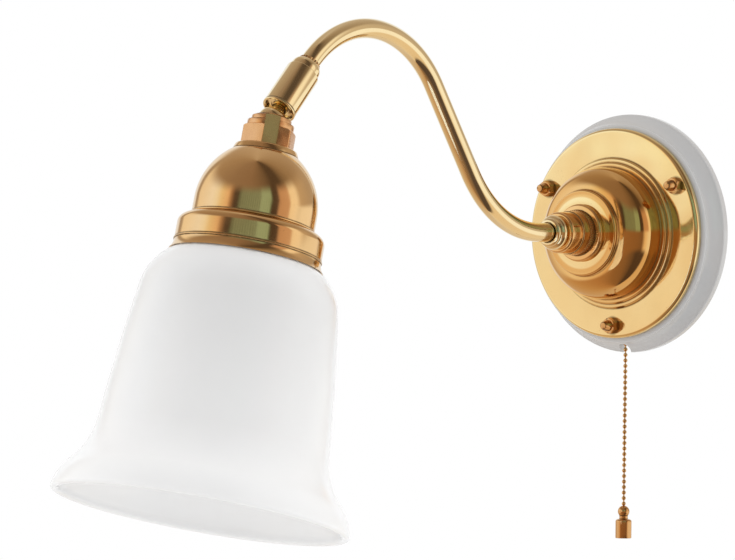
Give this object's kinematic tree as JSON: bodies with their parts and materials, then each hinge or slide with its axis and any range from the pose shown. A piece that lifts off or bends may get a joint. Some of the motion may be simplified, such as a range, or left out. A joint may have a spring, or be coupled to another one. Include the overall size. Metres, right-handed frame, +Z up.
{
  "type": "wall lamp",
  "caption": "Wall lamp: porcelain and brass wall plate, swan-neck arm on a swivel boss, ball joint, bell-shaped opal glass shade and a bead-chain pull switch.",
  "frame": {"origin": "centre of the base on the wall, midway between the two wall-screw holes", "axes": "+Y into the wall, -Y out along the boss towards the shade, +Z up, the arm in the plane x = 0"},
  "size_m": [0.1562, 0.4358, 0.2872],
  "materials": {
    "porcelain": "gloss",
    "steel": "satin",
    "plain_brass": "satin",
    "polished_brass": "polished",
    "arm_brass": "polished",
    "knurled_brass": "satin",
    "copper_brass": "polished",
    "satin_brass": "satin, turned",
    "cap_brass": "satin",
    "chain_brass": "polished",
    "opal_glass": "gloss",
    "bulb_white": "satin",
    "moulding": "gloss",
    "dark_moulding": "matte",
    "unglazed_ceramic": "matte",
    "gasket": "matte"
  },
  "bodies": {
    "base": {"base_housing": "porcelain", "wall_bracket": "steel", "studs": "plain_brass", "jam_nuts": "plain_brass", "wall_plate": "polished_brass", "cap_nuts": "copper_brass", "boss_disc": "polished_brass", "knurled_ring": "knurled_brass", "barrel": "polished_brass", "boss_nipple": "plain_brass", "boss_washer": "steel", "boss_nut": "plain_brass", "switch_body": "moulding", "switch_cover": "dark_moulding", "switch_screws": "steel", "lever_pin": "steel", "lever_spring": "steel", "terminal_block": "moulding", "terminal_screws": "plain_brass", "earth_screw": "plain_brass"},
    "arm": {"arm_tube": "arm_brass", "arm_collar": "arm_brass", "swivel_nut": "plain_brass"},
    "sleeve": {"sleeve": "arm_brass", "sleeve_ring": "knurled_brass", "ball_stem": "arm_brass"},
    "seat": {"ball_seat": "dark_moulding"},
    "head": {"joint_cap": "cap_brass", "spring_washer": "steel", "head_nipple": "plain_brass", "dome_nut": "plain_brass", "holder_dome": "satin_brass", "shade_ring": "satin_brass", "glass_shade": "opal_glass", "upper_gasket": "gasket", "lower_gasket": "gasket", "clamp_ring": "steel", "socket_cap": "moulding", "socket_barrel": "moulding", "socket_insert": "unglazed_ceramic", "socket_shell": "plain_brass", "centre_contact": "plain_brass", "side_contact": "plain_brass", "bulb_glass": "bulb_white", "bulb_cap": "steel", "bulb_foot": "steel"},
    "pull": {"pull_chain": "chain_brass", "bell_pull": "copper_brass"},
    "lever": {"switch_lever": "steel"}
  },
  "joints": [
    {"name": "arm_swivel", "type": "hinge", "parent": "base", "child": "arm", "pos_m": [0, -0.062, 0], "axis": [0, -1, 0], "range_deg": [-90, 90]},
    {"name": "sleeve_turn", "type": "hinge", "parent": "arm", "child": "sleeve", "pos_m": [0, -0.30873, 0.05675], "axis": [0, 0.6858, 0.7278], "range_deg": [-170, 170]},
    {"name": "head_tilt", "type": "hinge", "parent": "sleeve", "child": "seat", "pos_m": [0, -0.30873, 0.05675], "axis": [-1, 0, 0], "range_deg": [-5, 63]},
    {"name": "head_turn", "type": "hinge", "parent": "seat", "child": "head", "pos_m": [0, -0.30873, 0.05675], "axis": [0, -0.247, -0.969], "range_deg": [-170, 170]},
    {"name": "pull_slide", "type": "slide", "parent": "base", "child": "pull", "axis": [0, 0, -1], "range_m": [0, 0.007], "stiffness_N_per_m": 600},
    {"name": "lever_turn", "type": "hinge", "parent": "base", "child": "lever", "pos_m": [-0.01398, -0.0051, -0.0406], "axis": [0, 1, 0], "range_deg": [0, 28.84]}
  ],
  "couplings": [
    {"joint": "lever_turn", "follows": "pull_slide", "rad_per_m": 71.156}
  ]
}
